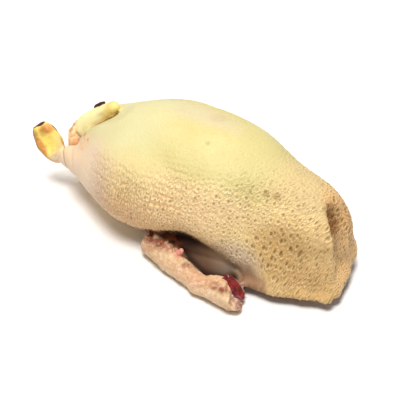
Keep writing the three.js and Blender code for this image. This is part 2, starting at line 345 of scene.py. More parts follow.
def crossed_cells(inside):
    """The grid's cells that the surface passes through, and a grid of their numbers."""
    n = inside.shape
    count = np.zeros([c - 1 for c in n], np.int8)
    for i, j, k in CORNERS:
        count += inside[i:n[0] - 1 + i, j:n[1] - 1 + j, k:n[2] - 1 + k]
    crossed = (count > 0) & (count < 8)
    cells = np.argwhere(crossed)
    number = np.full(crossed.shape, -1)
    number[crossed] = np.arange(len(cells))
    return cells, number


def cell_points(values, cells):
    """One point in each cell: the mean of the places where its edges cross the surface."""
    total = np.zeros((len(cells), 3))
    hits = np.zeros((len(cells), 1))
    for corner in CORNERS:
        for axis in range(3):
            if corner[axis]:
                continue
            far = list(corner)
            far[axis] = 1
            a = values[tuple((cells + corner).T)]
            b = values[tuple((cells + far).T)]
            cross = (a < 0) != (b < 0)
            share = np.where(cross, a / np.where(cross, a - b, 1), 0)[:, None]
            spot = np.array(corner) + share * (np.array(far) - np.array(corner))
            total += np.where(cross[:, None], spot, 0)
            hits += cross[:, None]
    return cells + total / hits


def crossing_faces(inside, number):
    """A quad round every grid edge that crosses the surface, facing outwards."""
    n = inside.shape
    faces = []
    for axis in range(3):
        u, v = (axis + 1) % 3, (axis + 2) % 3
        ahead = np.take(inside, range(1, n[axis]), axis)
        here = np.take(inside, range(n[axis] - 1), axis)
        edges = np.argwhere(ahead != here)
        keep = (edges[:, u] > 0) & (edges[:, v] > 0) & (edges[:, u] < n[u] - 1) & (edges[:, v] < n[v] - 1)
        edges = edges[keep]
        du, dv = np.eye(3, dtype=int)[u], np.eye(3, dtype=int)[v]
        ring = [number[tuple((edges - shift).T)] for shift in (du + dv, dv, 0 * du, du)]
        ring = np.stack(ring, 1)
        faces.append(np.where(inside[tuple(edges.T)][:, None], ring, ring[:, ::-1]))
    return np.concatenate(faces)


def closed_surface(field, low, high, cell):
    """A closed mesh of quads where the field is 0, with one vertex in each crossed cell."""
    axes = [np.arange(a, b + cell, cell) for a, b in zip(low, high)]
    values = sampled(field, axes)
    inside = values < 0
    cells, number = crossed_cells(inside)
    points = cell_points(values, cells) * cell + np.array(low)
    for _ in range(2):
        slope = slope_of(field, points)
        step = field(points.T)[:, None] * slope / np.maximum((slope ** 2).sum(1, keepdims=True), 0.25)
        points = points - 0.8 * np.clip(step, -0.4 * cell, 0.4 * cell)
    return points, crossing_faces(inside, number)


def add_object(name, data):
    thing = bpy.data.objects.new(name, data)
    bpy.context.scene.collection.objects.link(thing)
    return thing


def mesh_piece(name, points, faces, material):
    """A smooth mesh object from quads; points in metres, object at the origin."""
    mesh = bpy.data.meshes.new(name)
    mesh.vertices.add(len(points))
    mesh.vertices.foreach_set("co", np.asarray(points, np.float32).ravel())
    mesh.loops.add(faces.size)
    mesh.loops.foreach_set("vertex_index", faces.ravel().astype(np.int32))
    mesh.polygons.add(len(faces))
    mesh.polygons.foreach_set("loop_start", np.arange(0, faces.size, faces.shape[1], dtype=np.int32))
    mesh.polygons.foreach_set("use_smooth", np.ones(len(faces), bool))
    mesh.update(calc_edges=True)
    mesh.validate()
    mesh.materials.append(material)
    return add_object(name, mesh)


def paint(mesh, name, kind, values):
    layer = mesh.attributes.new(name, kind, "POINT")
    field = {"FLOAT_COLOR": "color", "FLOAT_VECTOR": "vector", "FLOAT": "value"}[kind]
    layer.data.foreach_set(field, np.asarray(values, np.float32).ravel())


def baked(piece, name):
    """Turns a piece with a live geometry tree into a plain mesh of its own."""
    bpy.context.view_layer.update()
    graph = bpy.context.evaluated_depsgraph_get()
    finished = piece.evaluated_get(graph)
    mesh = bpy.data.meshes.new_from_object(finished, preserve_all_data_layers=True, depsgraph=graph)
    piece.modifiers.clear()
    old = piece.data
    piece.data = mesh
    bpy.data.meshes.remove(old)
    mesh.name = name


# Node helpers

class Nodes:
    """Short calls for making nodes in a tree and linking them."""

    def __init__(self, tree):
        self.tree = tree

    def add(self, kind, settings=None, **inputs):
        node = self.tree.nodes.new(kind)
        for key, value in (settings or {}).items():
            setattr(node, key, value)
        for key, value in inputs.items():
            self.set(node, key.replace("_", " "), value)
        return node

    def set(self, node, key, value):
        socket = node.inputs[int(key)] if key.isdigit() else node.inputs[key]
        if isinstance(value, bpy.types.NodeSocket):
            self.tree.links.new(value, socket)
        else:
            socket.default_value = value

    def math(self, operation, a, b=0.0, clamp=False):
        settings = {"operation": operation, "use_clamp": clamp}
        return self.add("ShaderNodeMath", settings, **{"0": a, "1": b}).outputs[0]

    def vector(self, operation, a, b):
        return self.add("ShaderNodeVectorMath", {"operation": operation}, **{"0": a, "1": b}).outputs

    def plus(self, a, b):
        return self.math("ADD", a, b)

    def minus(self, a, b):
        return self.math("SUBTRACT", a, b)

    def times(self, a, b, clamp=False):
        return self.math("MULTIPLY", a, b, clamp)

    def fade(self, value, low, high, to_low=0.0, to_high=1.0):
        node = self.add("ShaderNodeMapRange", {"interpolation_type": "SMOOTHSTEP"})
        keys = ("Value", "From Min", "From Max", "To Min", "To Max")
        for key, item in zip(keys, (value, low, high, to_low, to_high)):
            self.set(node, key, item)
        return node.outputs["Result"]

    def mix(self, factor, a, b, blend="MIX"):
        settings = {"data_type": "RGBA", "blend_type": blend}
        a, b = (item if isinstance(item, bpy.types.NodeSocket) else (*item[:3], 1) for item in (a, b))
        return self.add("ShaderNodeMix", settings, **{"0": factor, "6": a, "7": b}).outputs[2]


def new_group(name, kind, inputs, outputs):
    tree = bpy.data.node_groups.new(name, kind)
    sockets = {}
    for label, socket, default in inputs:
        item = tree.interface.new_socket(label, in_out="INPUT", socket_type="NodeSocket" + socket)
        if default is not None:
            item.default_value = default
        sockets[label] = item
    for label, socket in outputs:
        tree.interface.new_socket(label, in_out="OUTPUT", socket_type="NodeSocket" + socket)
    make = Nodes(tree)
    start = make.add("NodeGroupInput")
    end = make.add("NodeGroupOutput")
    return tree, make, start.outputs, end, sockets


def effect(make, name, maker, **inputs):
    """The outputs of a shared effect, whose group is made when it is first used."""
    tree = bpy.data.node_groups.get(name) or maker()
    return make.add("ShaderNodeGroup", {"node_tree": tree}, **inputs).outputs


def noise(make, scale, detail, roughness=0.5):
    where = make.add("ShaderNodeTexCoord").outputs["Object"]
    inputs = {"Vector": where, "Scale": scale, "Detail": detail, "Roughness": roughness}
    return make.add("ShaderNodeTexNoise", **inputs).outputs[0]


# Shared shader effects

FLAT_CELLS = {"voronoi_dimensions": "2D"}
FLAT_BORDERS = {"voronoi_dimensions": "2D", "feature": "DISTANCE_TO_EDGE"}

# How far the follicles stray from even rows
FOLLICLE_SPREAD = 0.78


def follicle_shape(make, where, lower, spread, dark):
    """One follicle in each cell of the map: its pit, the raised rim on one side and the seam round it."""
    cells = make.add("ShaderNodeTexVoronoi", FLAT_CELLS, Vector=where, Scale=1.0, Randomness=spread)
    far = cells.outputs["Distance"]
    each = make.add("ShaderNodeSeparateXYZ", Vector=cells.outputs["Color"]).outputs[0]
    off = make.vector("SUBTRACT", where, cells.outputs["Position"])["Vector"]
    side = make.vector("DOT_PRODUCT", off, lower)["Value"]
    lean = make.math("DIVIDE", side, make.math("MAXIMUM", far, 0.02))
    size = make.plus(make.plus(make.times(each, 0.05), make.times(dark, 0.04)), 0.115)
    reach = make.math("DIVIDE", far, size)
    pit = make.fade(reach, 2.0, 0.4)
    from_ring = make.math("ABSOLUTE", make.math("DIVIDE", make.minus(reach, 2.3), 1.15))
    ring = make.math("MAXIMUM", make.minus(1.0, from_ring), 0.0)
    rim = make.times(ring, make.fade(lean, -0.3, 0.6))
    border = make.add("ShaderNodeTexVoronoi", FLAT_BORDERS, Vector=where, Scale=1.0, Randomness=spread)
    seam = make.fade(border.outputs["Distance"], 0.36, -0.04)
    return pit, rim, seam, each


def follicle_group():
    """Feather follicles on a surface map, and the small pebbles of skin between them."""
    tree, make, start, end, _ = new_group(
        "follicles", "ShaderNodeTree",
        (("Map", "Vector", None), ("Lower side", "Vector", None), ("Spread", "Float", 0.8),
         ("Dark", "Float", 0.0), ("Pebbles", "Float", 2.4)),
        (("Pit", "Float"), ("Rim", "Float"), ("Seam", "Float"), ("Each", "Float"), ("Pebble", "Float")))
    shape = follicle_shape(make, start["Map"], start["Lower side"], start["Spread"], start["Dark"])
    for label, value in zip(("Pit", "Rim", "Seam", "Each"), shape):
        make.set(end, label, value)
    small = make.add("ShaderNodeTexVoronoi", FLAT_BORDERS, Vector=start["Map"], Scale=start["Pebbles"])
    make.set(end, "Pebble", make.fade(small.outputs["Distance"], 0.0, 0.32))
    return tree


def mottle_group():
    """Soft blotches and fine grain that every raw surface of the duck shares."""
    tree, make, start, end, _ = new_group(
        "mottle", "ShaderNodeTree",
        (("Blotch size", "Float", 60.0), ("Grain size", "Float", 900.0)),
        (("Blotch", "Float"), ("Grain", "Float"), ("Crackle", "Float")))
    fine = start["Grain size"]
    where = make.add("ShaderNodeTexCoord").outputs["Object"]
    crackle = make.add("ShaderNodeTexVoronoi", {"feature": "DISTANCE_TO_EDGE"}, Vector=where, Scale=fine)
    make.set(end, "Blotch", noise(make, start["Blotch size"], 3.0, 0.55))
    make.set(end, "Grain", noise(make, fine, 2.0))
    make.set(end, "Crackle", make.fade(crackle.outputs["Distance"], 0.0, 0.25))
    return tree


def new_material(name, **values):
    material = bpy.data.materials.new(name)
    material.use_nodes = True
    make = Nodes(material.node_tree)
    shader = material.node_tree.nodes["Principled BSDF"]
    for key, value in values.items():
        make.set(shader, key.replace("_", " "), value)
    return material, make, shader


def finish_shader(make, shader, base, roughness, relief, strength, distance):
    bump = make.add("ShaderNodeBump", Height=relief, Strength=strength, Distance=distance)
    for key, value in (("Base Color", base), ("Roughness", roughness), ("Normal", bump.outputs[0])):
        make.set(shader, key, value)


# Colours

# Several of these stand for painted shade: arm and gap under the body, under fold below the hem, pit in the
# neck's hollow and tail shade in the tail's crevices; bruise also paints shade in the elbow's folds, and hock
# also paints light on shaded skin above the wrist.
SKIN = {
    "breast": "cbc082", "belly": "d0ca99", "side": "fcdcaa", "grey": "cbbdb4", "mark": "80590a",
    "thigh low": "e4bb8b", "drumstick": "e0c8ae", "hock": "dcc4a4", "olive": "b58f52", "follicle": "7d5d2a",
    "shank": "f8dc6c", "shank orange": "cb873c", "shank olive": "8a6430", "shank dark": "4a2418",
    "far shank": "f6ebad", "tail": "f0c896", "tail shade": "e8a26c", "wrinkle": "b27c4c", "bruise": "8a4829",
    "neck side": "f5d79b", "neck top": "ccb684", "front": "e8c188", "pit": "865822",
    "skirt": "ccaa72", "under fold": "7a401c", "wing": "dfbf98", "wing rim": "f3cf9c", "wing flush": "cb9b7a",
    "nub": "e79a86", "cut skin": "a9817c", "cut tip": "e8a468",
    "arm": "9c7a5c", "gap": "2a0d05", "grey fold": "cdb9a2",
}
# fat also stands in part for painted highlights on the wet cut
FLESH = {"deep": "5c0b10", "muscle": "8e1f26", "fat and glint": "c8606a", "vein": "4a0d12"}

# Stains on the breast: place, radius and strength
MARKS = (
    ((84, -29, 97.5), 3.4, 0.65),
    ((93.5, -25, 95.5), 4.2, 0.7),
    ((14.5, -25, 126), 2.4, 0.3),
    ((97, 14, 101), 6, 0.2),
    ((2, 13, 130), 9, 0.12),
)

# Bruises on the forearm: place, half sizes and strength
WING_BRUISES = (
    ((31, 87, 22.5), (5, 4.5, 4.5), 0.9),
    ((70, 97, 24), (6, 5, 3.5), 1.0),
    ((81, 98, 25), (5, 5, 4), 1.0),
)


# Painting of the skin, in coats that are laid over each other

def along_hock(p):
    """Distance down the hock, with the wobble that its rings of skin have."""
    return plane(p, (0, 0, 0), HOCK_WAY) + ripple(p, 14, 21)


def elbow_wave(m):
    """1 on each small fold of skin over the elbow and -1 between two of them."""
    return np.sin(m[0] * 2 * math.pi / ELBOW_FOLD_PITCH + m[1] / 3)


def paint_trunk(lay, p, normal):
    """Paints the body, with painted shade in the neck end's hollow and under the hem; gives back the mask of
    the neck end's hollow front.
    """
    m = mirrored(p)
    x, _, z = p
    low = 1 - smooth(normal[2] + 0.08 * ripple(p, 30, 41), -0.15, 0.7)
    sideways = smooth(np.abs(normal[1]) + 0.2 * ripple(p, 25, 11), 0.2, 0.8)
    lay("belly", blot(p, (-90, -10, 110), (60, 60, 40), 1.0))
    lay("side", 0.9 * low)
    lay("side", 0.6 * blot(m, (0, 60, 78), (125, 26, 24), 1.0))
    lay("thigh low", 0.7 * blot(m, (-62, 84, 44), (48, 26, 28), 1.0))
    lay("drumstick", blot(m, (-112, 60, 62), (52, 40, 38), 0.9) * sideways)
    lay("grey", 0.35 * blot(p, (-10, 10, 128), (40, 16, 20), 1.0))
    lay("neck side", 0.9 * smooth(x + 0.4 * (90 - z), 60, 120))
    lay("olive", 0.6 * blot(m, (116, 44, 50), (34, 27, 30), 1.0))
    for spot, size, much in MARKS:
        lay("mark", much * blot(p, spot, (size, size, size), 1.0))
    lay("neck top", 0.9 * smooth(normal[2], 0.5, 0.9) * smooth(x, 50, 120))
    lay("skirt", blot(p, (135, -42, 12), (44, 26, 26), 0.9))

    wall = plane(p, *LIP_WALL)
    soft_lip = np.maximum(smooth(z, 80, 95), 0.8 * smooth(z, 50, 25))
    front = smooth(-wall, -1 - 9 * soft_lip, 2 + 9 * soft_lip) * smooth(x, 112, 136)
    lay("front", front)
    lay("skirt", 0.5 * smooth(x, 132, 150) * (1 - front))
    # painted shade: dark brown in the hollow behind the neck's lip
    lay("pit", blot(p, (142, -5, 73), (12, 12, 14), 0.9) * front)
    lay("pit", 0.4 * front * smooth(-wall, 14, 2) * smooth(z, 34, 56) * smooth(z, 92, 80))
    lay("pit", 0.3 * front * blot(p, (154, 4, 78), (18, 22, 20), 1.0))
    # painted shade: dark brown on the downward-facing skin under the hem
    lay("under fold", 0.9 * smooth(-normal[2], 0.1, 0.6) * smooth(x, 62, 78) * smooth(z, 15, 10))
    return front


def paint_near_shank(lay, p):
    """Paints the near hock and shank; gives back the shank's mask and the line of its dark edge."""
    lay("drumstick", blot(p, (-128, -48, 56), (24, 24, 26), 0.7))
    lay("hock", blot(p, (-154, -42, 55), (19, 20, 22), 0.5))
    shank = 1 - smooth(blade(p, **NEAR_SHANK), 0.5, 3)
    shank = shank * smooth(-p[0] - 0.5 * p[2], 128, 142)
    tip = plane(p, *SHANK_TIP)
    side = plane(p, NEAR_SHANK["at"], np.cross(SHANK_FLAT, SHANK_WAY))
    smudge = blot(p, (-186, -46, 75), (6, 5, 5), 0.9) * smooth(ripple(p, 4, 13), -0.8, 0.3)
    lay("shank", shank)
    lay("hock", shank * smooth(tip + 0.5 * side, -28, -40))
    lay("shank orange", shank * blot(p, (-181.5, -42, 79.5), (8, 7, 4.5), 0.8))
    lay("shank orange", 0.9 * shank * smooth(side + 2 * ripple(p, 9, 12), 4, 9))
    lay("shank olive", 0.45 * shank * smudge)
    lay("shank olive", 0.6 * shank * smooth(side + 2 * ripple(p, 7, 16), 6, 12) * smooth(tip, -22, -8))

    # the dark edge runs round the tip and fades out down both sides
    tip_edge = tip + 1.2 * ripple(p, 5, 14) - 3 * (1 - smooth(side, -9, 0)) + 2.2
    right_edge = -side - 10.9 + 0.8 * ripple(p, 6, 18) - 5 * (1 - smooth(tip, -28, -20))
    left_edge = side - 13.2 + 0.8 * ripple(p, 6, 19) - 5 * (1 - smooth(tip, -32, -26))
    outline = np.maximum(np.maximum(tip_edge, right_edge), left_edge)
    return shank, np.clip(outline, -5, 3) - 8 * (1 - shank)


def paint_far_shank(lay, p):
    """Paints the far shank, with painted shade on its underside; gives back its mask, the distance to it and
    the mask of its underside.
    """
    distance = limb(p, *FAR_SHANK)
    shank = 1 - smooth(distance, 0.2, 2)
    end = shank * smooth(p[0], -138, -128)
    underside = plane(p, *FAR_SHANK_UNDERSIDE)
    below = smooth(underside, 1, 5) * smooth(p[0], -152, -143)
    lay("far shank", shank)
    lay("shank", 0.6 * end)
    lay("olive", 0.3 * end)
    # painted shade: darker orange on the far shank's underside
    lay("shank orange", 0.35 * shank * smooth(underside, 5.5, 9) * below)
    lay("shank dark", 1 - smooth(crust_form(p), 0.3, 1.3))
    return shank, distance, below


def paint_tail(lay, p, shanks):
    """Paints the tail, with painted shade in its crevices, and the wrinkled skin beside it; gives back both
    masks.
    """
    tail = blot(p, (-176, 2, 42), (24, 27, 28), 0.5)
    for shank in shanks:
        tail = tail * (1 - shank)
    flap = blot(p, (-137, -36, 78), (12, 8, 9), 1.0) * (1 - shanks[1])
    lay("tail", 0.9 * tail)
    # painted shade: darker orange in the crevices between the tail's wrinkles, where its relief is pressed in
    lay("tail shade", 0.85 * tail * smooth(ripple(p, 6.5, 3) + 0.5 * ripple(p, 3.5, 4), 0.0, 0.9))
    lay("tail", 0.6 * flap)
    lay("wrinkle", 0.9 * np.maximum(0.8 * tail, flap) * smooth(ripple(p, 4, 83), 0.2, 0.7))
    lay("bruise", 0.5 * blot(p, (-163, -15, 46), (8, 6, 6), 0.9))
    return tail, flap


def paint_wings(lay, m):
    """Paints the wings, with painted shade on the upper arms and in the gap beside them; gives back both
    masks.
    """
    x, y, z = m
    distance = forearm_form(m)
    wing = 1 - smooth(distance, 0.5, 3)
    body = 1 - wing
    inner = smooth(-y + 0.14 * x, -75, -68) * smooth(x, -24, -8)
    arm = 1 - smooth(join(limb(m, *UPPER_ARM), limb(m, *WEB), 8), 0.3, 2.4)
    arm = arm * smooth(-x, -96, -76)
    wrist_side = blot(m, (83, 66, 15), (14, 9, 17), 0.9) * body
    # painted shade: the upper arm lies under the body and is painted grey-brown
    lay("arm", arm * body)
    lay("wing", wing)
    lay("grey fold", 0.8 * blot(m, (72, 62, 30), (26, 14, 22), 0.9) * body)
    # painted shade: grey-brown to near black on the skin under the body's edge beside the wrist
    lay("arm", 0.95 * wrist_side)
    lay("gap", 0.25 * wrist_side)
    lay("arm", 0.95 * blot(m, (97, 67, 14), (15, 10, 12), 0.8) * body)
    # painted shade: near black on the wing's inner side, on the upper arm and on the body's underside along
    # the gap between forearm and body
    lay("gap", wing * inner * smooth(x, 80, 66) + body * arm * smooth(-z + 0.08 * x, -15, -8))
    lay("gap", 0.8 * body * arm * smooth(x, 60, 16))
    lay("gap", 0.95 * body * arm * smooth(distance, 9, 3) * smooth(x, 84, 72))
    lay("gap", 0.9 * body * blot(m, (-2, 62, 30), (32, 14, 9), 0.8))
    # painted light: a pale blot that brightens the body's edge above the wrist where it lies in shadow
    lay("hock", 0.8 * blot(m, (73, 63, 30), (11, 8, 11), 0.9) * body)
    # painted shade under the body's edge beside the wrist
    lay("under fold", 0.3 * blot(m, (92, 66, 15), (9, 8, 8), 0.9) * body)

    cut = plane(m, *WRIST_CUT)
    lay("wing rim", wing * smooth(cut, -5, -1))
    lay("cut skin", 0.9 * wing * smooth(cut + 1.2 * ripple(m, 5, 52), -1.6, 0.2))
    lay("bruise", 0.6 * wing * smooth(cut, -1, 0.5) * smooth(ripple(m, 5, 53), 0, 0.8))
    lay("cut tip", wing * blot(m, (96, 82, 4), (5, 6, 5), 0.8))
    for spot, half, much in WING_BRUISES:
        lay("bruise", much * blot(m, spot, half, 0.9) * smooth(ripple(m, 4, 51), -1.2, -0.2))
    lay("bruise", 0.95 * blot(m, *ELBOW) * smooth(ripple(m, 6, 17), -0.9, 0.1))
    # painted shade: reddish brown in the troughs between the small folds over the elbow
    lay("bruise", 0.5 * wing * blot(m, *ELBOW_FOLDS) * smooth(-elbow_wave(m), -0.2, 0.8))
    lay("wing flush", 0.5 * wing * smooth(ripple(m, 11, 18), 0.0, 0.9))
    lay("wing flush", 0.5 * wing * blot(m, (47, 94, 20), (22, 9, 10), 1.0))
    lay("nub", 1 - smooth(limb(m, *NUB), 0.3, 1.5))
    return wing, arm


def pore_masks(p, normal, wing, plain, front):
    """How strongly the follicles and the seams between them show, and which follicles are dark."""
    m = mirrored(p)
    x, _, z = p
    around = smooth(x, -125, -70)
    pored = 1 - smooth(normal[2] - 0.34 * smooth(x, 35, 115), 0.35, 0.9)
    follicles = np.maximum(pored * smooth(x, -115, -40) * (1 - 0.85 * wing), 0.12 * around) * plain
    seams = pored * around * (1 - 0.5 * smooth(x, -20, 50)) * (1 - wing) * plain
    seams = np.maximum(seams, 0.7 * blot(m, (130, 52, 10), (60, 30, 26), 0.8) * plain)
    seams = np.maximum(seams, 0.5 * wing * smooth(z, 2, 7))
    dark = 0.9 * blot(m, (112, 47, 48), (26, 22, 24), 0.9) + 0.9 * front * smooth(z, 20, 60)
    return {"follicles": follicles, "seams": seams, "dark_follicles": np.clip(dark, 0, 1)}


def skin_paint(p, normal):
    """The skin's colour, the masks and lines that the shader reads, and the masks of wings and front.

    zones holds how raw the skin looks, the underside of the far shank and the hock.
    edge_lines holds distances in millimetres to the far shank, the hock's ring and the near shank's dark
    edge, so that the shader draws these lines crisp; along the far shank and the hock's ring they are painted
    shade."""
    m = mirrored(p)
    tint = np.tile(colour(SKIN["breast"]), (len(p[0]), 1))

    def lay(name, amount):
        nonlocal tint
        tint = tint + (np.array(colour(SKIN[name])) - tint) * np.clip(amount, 0, 1)[:, None]

    front = paint_trunk(lay, p, normal)
    near_shank, outline = paint_near_shank(lay, p)
    far_shank, from_far_shank, below = paint_far_shank(lay, p)
    tail, flap = paint_tail(lay, p, (near_shank, far_shank))
    wing, arm = paint_wings(lay, m)

    by_wrist = blot(m, (88, 64, 15), (17, 11, 20), 0.8)
    plain = (1 - arm) * (1 - far_shank) * smooth(p[2], 2, 7) * (1 - 0.85 * by_wrist)
    masks = pore_masks(p, normal, wing, plain, front)
    raw = np.maximum(np.maximum(wing, 0.9 * tail), np.maximum(0.7 * near_shank, 0.6 * flap))
    masks["zones"] = np.stack((raw, below, blot(p, *HOCK)), 1)
    ring = along_hock(p) - HOCK_RINGS[0][0]
    masks["edge_lines"] = np.stack((from_far_shank - 1.0, ring, outline), 1)
    return tint, masks, wing, front


def fine_folds(p, wing, masks):
    """How far small creases and folds lift the skin, in millimetres."""
    m = mirrored(p)
    lift = np.zeros(len(p[0]))
    along = along_hock(p)
    for at, depth in HOCK_RINGS:
        lift -= depth * np.exp(-((along - at) / 1.5) ** 2) * blot(p, *HOCK)
    lift += wing * (0.6 * ripple(m, 9, 31) + 0.35 * ripple(m, 4, 32))
    lift += 1.8 * ripple(m, 4.5, 17) * blot(m, *ELBOW)
    lift += 1.3 * elbow_wave(m) * blot(m, *ELBOW_FOLDS)
    lift -= 0.9 * masks["zones"][:, 1] * np.exp(-(masks["edge_lines"][:, 0] / 1.3) ** 2)
    lift += 0.4 * ripple(p, 22, 33) * smooth(p[2], 4, 12)
    return lift


# Settings

class DuckSizes(bpy.types.PropertyGroup):
    cell: bpy.props.FloatProperty(
        name="Skin step", default=0.0017, unit="LENGTH",
        description="Step of the grid that the skin is made on")
    flesh_cell: bpy.props.FloatProperty(
        name="Flesh step", default=0.0009, unit="LENGTH",
        description="Step of the grid that the cut flesh is made on")
    pitch: bpy.props.FloatProperty(
        name="Follicle pitch", default=0.0062, unit="LENGTH",
        description="Distance between feather follicles on the breast")
    depth: bpy.props.FloatProperty(
        name="Follicle depth", default=0.0009, unit="LENGTH",
        description="How deep the follicles are pitted")


class DuckColours(bpy.types.PropertyGroup):
    follicle: bpy.props.FloatVectorProperty(
        name="Follicle", subtype="COLOR", default=colour(SKIN["follicle"]),
        description="Colour inside the feather follicles")
    flesh: bpy.props.FloatVectorProperty(
        name="Flesh", subtype="COLOR", default=colour(FLESH["deep"]),
        description="Colour of the raw flesh at the wrist cut")
    floor: bpy.props.FloatVectorProperty(
        name="Floor", subtype="COLOR", default=(0.93, 0.925, 0.92),
        description="Colour of the studio floor")


# Skin

# Follicle steps in millimetres; along the breast it is the pitch in the settings
THIGH_STEP = 3.7
THIGH_ROW = 6.0
BREAST_ROW = 5.1
FRONT_STEP = 4.2
SKIRT_STEP = 4.3
WING_STEP = 5.5
WING_ROW = 5.0
WING_MIDDLE = (40, 84, 14)
WING_RADIUS = 13


def skin_patterns(make):
    """The masks that the skin was painted with, and the patterns that show where they allow it."""
    def painted(name, socket="Fac"):
        return make.add("ShaderNodeAttribute", {"attribute_name": name}).outputs[socket]

    pores, seams, dark = (painted(name) for name in ("follicles", "seams", "dark_follicles"))
    zones = make.add("ShaderNodeSeparateXYZ", Vector=painted("zones", "Vector"))
    raw, beside_shank, on_hock = zones.outputs
    lines = make.add("ShaderNodeSeparateXYZ", Vector=painted("edge_lines", "Vector")).outputs
    follicle = effect(
        make, "follicles", follicle_group, Map=painted("skin_map", "Vector"),
        Lower_side=painted("lower_side", "Vector"), Spread=FOLLICLE_SPREAD, Dark=dark)
    mottle = effect(make, "mottle", mottle_group, Blotch_size=38.0, Grain_size=620.0)
    between = make.times(make.minus(1.0, follicle["Pebble"]), make.math("MAXIMUM", pores, seams))
    # painted shade: dark lines along the crease under the far shank and in the hock's ring
    under = make.times(make.fade(make.math("ABSOLUTE", lines[0]), 1.1, 0.2, 0.0, 0.9), beside_shank)
    ring = make.times(make.fade(make.math("ABSOLUTE", lines[1]), 1.2, 0.2, 0.0, 0.5), on_hock)
    return SimpleNamespace(
        tint=painted("tint", "Color"), dark=dark, raw=raw, each=follicle["Each"],
        pit=make.times(follicle["Pit"], pores), rim=make.times(follicle["Rim"], pores),
        seam=make.times(follicle["Seam"], seams), pebble=between, fine=noise(make, 230.0, 3.0, 0.6),
        blotch=mottle["Blotch"], grain=mottle["Grain"], crackle=mottle["Crackle"],
        crease_shade=make.math("MAXIMUM", under, ring), outline=lines[2])


def skin_colour(make, skin, follicle):
    """Coats over the painted tint: how strongly each shows, its colour and how it mixes."""
    stained = make.plus(make.fade(skin.each, 0.1, 0.9, 0.26, 0.5), make.times(skin.dark, 0.32))
    seam = make.times(make.times(skin.seam, skin.seam), make.fade(skin.grain, 0.3, 0.65, 0.1, 1.0))
    stubble = make.times(skin.dark, make.fade(skin.grain, 0.35, 0.65, 0.0, 0.45))
    coats = (
        (make.fade(skin.blotch, 0.3, 0.75, 0.0, 0.16), (0.80, 0.60, 0.36), "MULTIPLY"),
        (make.times(skin.pit, stained, clamp=True), follicle, "MIX"),
        # painted shade: darker in the seams and between the small pebbles of skin, the grooves of the relief
        (seam, (0.64, 0.44, 0.24), "MULTIPLY"),
        (make.times(skin.pebble, 0.15), (0.66, 0.46, 0.26), "MULTIPLY"),
        (stubble, (0.72, 0.55, 0.30), "MULTIPLY"),
        # painted highlight: lighter colour on each follicle's raised rim, on its lower side where light from
        # above falls
        (make.times(skin.rim, 0.16), (1.0, 0.86, 0.58), "MIX"),
        (make.fade(skin.grain, 0.35, 0.7, 0.0, 0.10), (0.75, 0.6, 0.4), "MULTIPLY"),
        (make.times(skin.raw, make.fade(skin.fine, 0.52, 0.68, 0.0, 0.4)), (0.78, 0.47, 0.30), "MULTIPLY"),
        (make.times(skin.raw, make.fade(skin.fine, 0.48, 0.34, 0.0, 0.25)), (1.0, 0.86, 0.66), "MIX"),
        # painted shade in the creases under the far shank and at the hock's ring
        (skin.crease_shade, colour(SKIN["shank olive"]), "MULTIPLY"),
        (make.fade(skin.outline, -0.8, 0.3), colour(SKIN["shank dark"]), "MIX"),
    )
    base = skin.tint
    for amount, tone, blend in coats:
        base = make.mix(amount, base, tone, blend)
    return base


def skin_material():
    colours = bpy.context.scene.duck_colours
    material, make, shader = new_material("raw_skin", IOR=1.42)
    skin = skin_patterns(make)
    base = skin_colour(make, skin, tuple(colours.follicle))

    # dark paint, such as the painted shade in the gap beside the wing, is kept dull
    light = make.add("ShaderNodeSeparateColor", Color=skin.tint).outputs[0]
    dull = make.fade(light, 0.05, 0.45, 0.45, 0.0)
    roughness = make.plus(make.fade(skin.blotch, 0.3, 0.7, 0.40, 0.54), dull)

    relief = make.times(skin.rim, 0.6)
    for part, height in (
            (skin.pit, -0.9), (skin.seam, -1.0), (skin.pebble, -0.45), (skin.crackle, 0.10),
            (skin.grain, 0.12), (make.times(skin.fine, skin.raw), 1.6)):
        relief = make.plus(relief, make.times(part, height))
    finish_shader(make, shader, base, roughness, relief, 0.65, 0.0014)
    return material


def relief_tree():
    """Presses the follicles of the skin map into the skin, along its normal."""
    tree, make, start, end, sockets = new_group(
        "skin_relief", "GeometryNodeTree",
        (("Skin", "Geometry", None), ("Depth", "Float", 0.0009), ("Spread", "Float", FOLLICLE_SPREAD),
         ("Finish", "Material", None)),
        (("Skin", "Geometry"),))

    def painted(name, kind="FLOAT"):
        node = make.add("GeometryNodeInputNamedAttribute", {"data_type": kind}, Name=name)
        return node.outputs["Attribute"]

    where, lower = (painted(name, "FLOAT_VECTOR") for name in ("skin_map", "lower_side"))
    pit, rim, seam, _ = follicle_shape(make, where, lower, start["Spread"], painted("dark_follicles"))
    height = make.times(make.minus(make.times(rim, 0.7), pit), painted("follicles"))
    height = make.minus(height, make.times(seam, painted("seams")))
    normal = make.add("GeometryNodeInputNormal").outputs[0]
    height = make.times(height, start["Depth"])
    push = make.add("ShaderNodeVectorMath", {"operation": "SCALE"}, Vector=normal, Scale=height)
    moved = make.add("GeometryNodeSetPosition", Geometry=start["Skin"], Offset=push.outputs[0])
    real = make.add("GeometryNodeRealizeInstances", Geometry=moved.outputs[0])
    done = make.add("GeometryNodeSetMaterial", Geometry=real.outputs[0], Material=start["Finish"])
    make.set(end, "Skin", done.outputs[0])
    return tree, sockets


def add_tree(piece, tree, sockets, values):
    modifier = piece.modifiers.new(tree.name, "NODES")
    modifier.node_group = tree
    for label, value in values.items():
        modifier[sockets[label].identifier] = value


